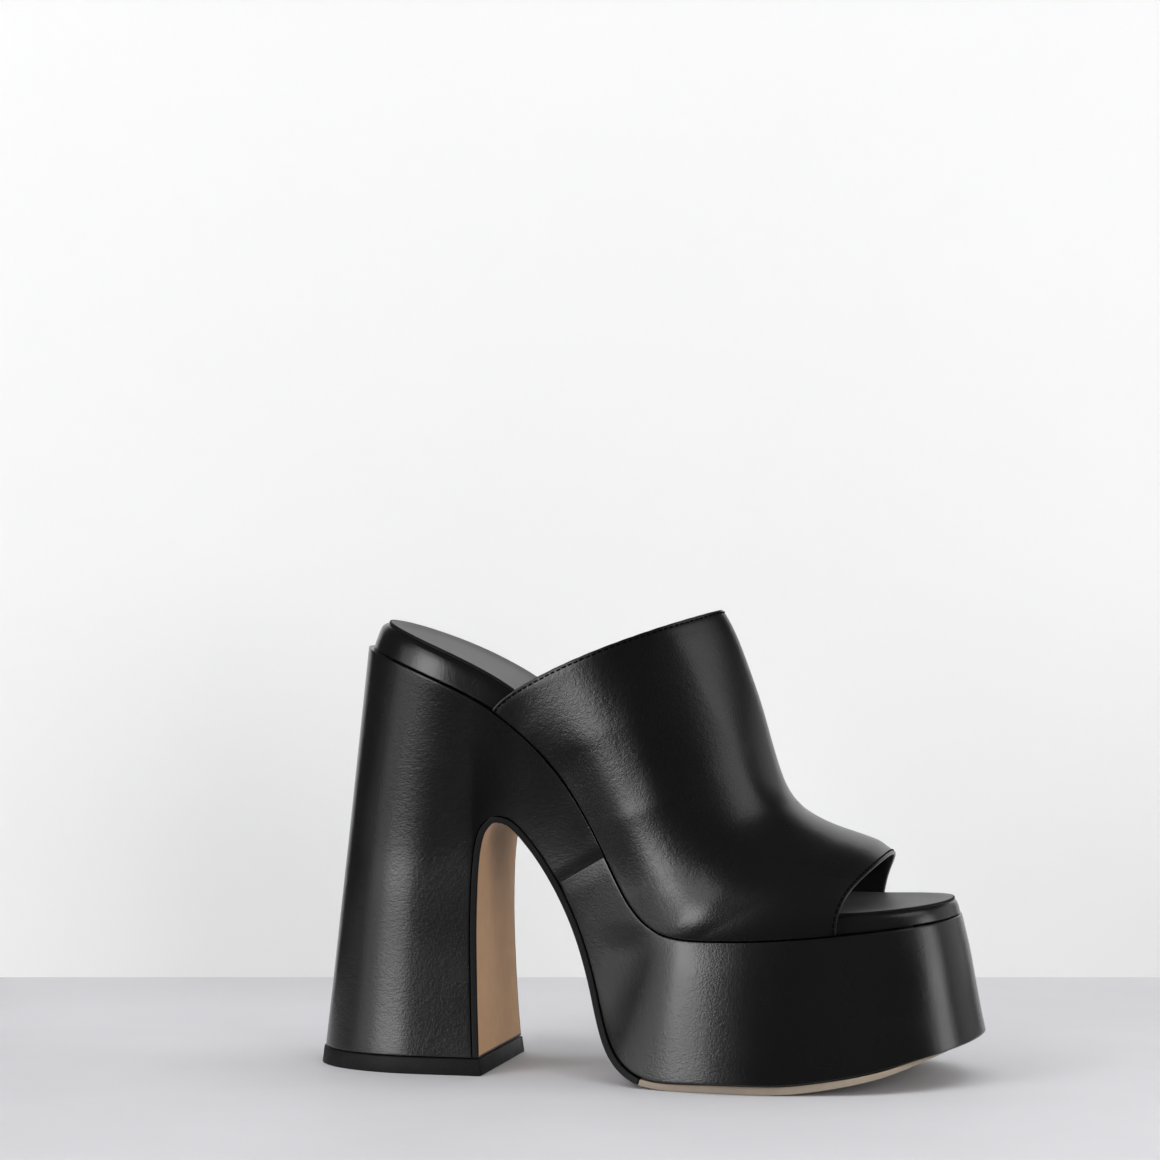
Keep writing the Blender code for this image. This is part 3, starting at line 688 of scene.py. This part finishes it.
def makeStage(name, centre, size, tilt, look):
    bpy.ops.mesh.primitive_plane_add(size=1, location=centre, rotation=(tilt, 0, turn))
    piece = bpy.context.active_object
    piece.name = piece.data.name = name
    piece.scale = (*size, 1)
    makeActive(piece)
    bpy.ops.object.transform_apply(location=True, rotation=True, scale=True)
    piece.data.materials.append(look)
    piece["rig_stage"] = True
    return piece


# The leather mirrors only what stands near the shoe: the near floor and the middle of the wall
near, side, high, far = studio["floorFront"], studio["wallSide"], studio["wallHigh"], studio["far"]
back = studio["wallAway"]
floorLook = stageLook("floorPaint", studio["floorColour"], 0.06, True)
wallLook = stageLook("wallPaint", studio["wallColour"], 0.01, True)
stages = [
    ("studioFloor", (0, (back - near) / 2, 0), (2 * far, back + near), floorLook, True),
    ("studioFloorFront", (0, -(near + far) / 2, 0), (2 * far, far - near), floorLook, False),
    ("studioFloorBack", (0, (back + far) / 2, 0), (2 * far, far - back), floorLook, False),
    ("studioWall", (0, back, high / 2), (2 * side, high), wallLook, True),
    ("studioWallTop", (0, back, (high + far) / 2), (2 * far, far - high), wallLook, False),
    ("studioWallLeft", (-(side + far) / 2, back, high / 2), (far - side, high), wallLook, False),
    ("studioWallRight", ((side + far) / 2, back, high / 2), (far - side, high), wallLook, False),
]
for name, (aside, behind, up), size, look, mirrored in stages:
    tilt = math.radians(90) if look == wallLook else 0.0
    piece = makeStage(name, sideways * aside + away * behind + Vector((0, 0, up)), size, tilt, look)
    piece.visible_glossy = mirrored

# Where each light stands: degrees round from the front and up, and how far
lights = [
    {"name": "windowLow", "round": -38, "up": 9.5, "away": 1.6, "size": (0.71, 0.68), "power": 9.8},
    {"name": "windowHigh", "round": -36, "up": 37, "away": 1.7, "size": (0.80, 0.90), "power": 5.0},
    {"name": "fillLeft", "round": -61, "up": 10, "away": 1.1, "size": (0.34, 0.55), "power": 0.9},
    {"name": "stripLow", "round": 96, "up": 4, "away": 1.1, "size": (0.34, 0.38), "power": 1.35},
    {"name": "stripHigh", "round": 88, "up": 33, "away": 1.1, "size": (0.50, 0.48), "power": 1.2},
    {"name": "fillRight", "round": 128, "up": 8, "away": 0.45, "size": (0.28, 0.22), "power": 0.09},
    {"name": "archFill", "round": 40, "up": 12, "away": 0.9, "size": (0.5, 0.4), "power": 3.4, "unseen": True},
    {"name": "overhead", "round": -70, "up": 80, "away": 1.5, "size": (3.0, 2.4), "power": 17, "unseen": True},
    {"name": "overheadRight", "round": 105, "up": 60, "away": 1.3, "size": (0.7, 0.7), "power": 4, "unseen": True},
    {"name": "wallWash", "round": 0, "up": 70, "away": 1.3, "size": (2.0, 0.3), "power": 3.2, "unseen": True,
     "look": (0, 0.5, 0.40)},
]
shoeMiddle = Vector((0, -0.01, 0.07))
for light in lights:
    aside, up = math.radians(light["round"]), math.radians(light["up"])
    way = Vector((math.sin(aside) * math.cos(up), -math.cos(aside) * math.cos(up), math.sin(up)))
    bpy.ops.object.light_add(type="AREA", location=shoeMiddle + way * light["away"])
    lamp = bpy.context.active_object
    lamp.name = light["name"]
    lamp.data.shape = "RECTANGLE"
    lamp.data.size, lamp.data.size_y = light["size"]
    lamp.data.energy = light["power"]
    lamp.visible_glossy = not light.get("unseen", False)
    lamp.visible_camera = False
    aim = Vector(light.get("look", shoeMiddle)) - lamp.location
    lamp.rotation_euler = aim.to_track_quat("-Z", "Y").to_euler()

world = bpy.data.worlds.new("studioAir")
bpy.context.scene.world = world
world.use_nodes = True
world.node_tree.nodes["Background"].inputs["Color"].default_value = (1.0, 1.0, 1.0, 1.0)
world.node_tree.nodes["Background"].inputs["Strength"].default_value = 0.035

bpy.ops.object.camera_add(location=studio["camera"], rotation=(math.radians(90), 0, turn))
camera = bpy.context.active_object
camera.data.lens = studio["lens"]
camera.data.sensor_width = 36.0
camera.data.clip_end = 20.0
bpy.context.scene.camera = camera
print("stage: studio set")

low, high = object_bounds()
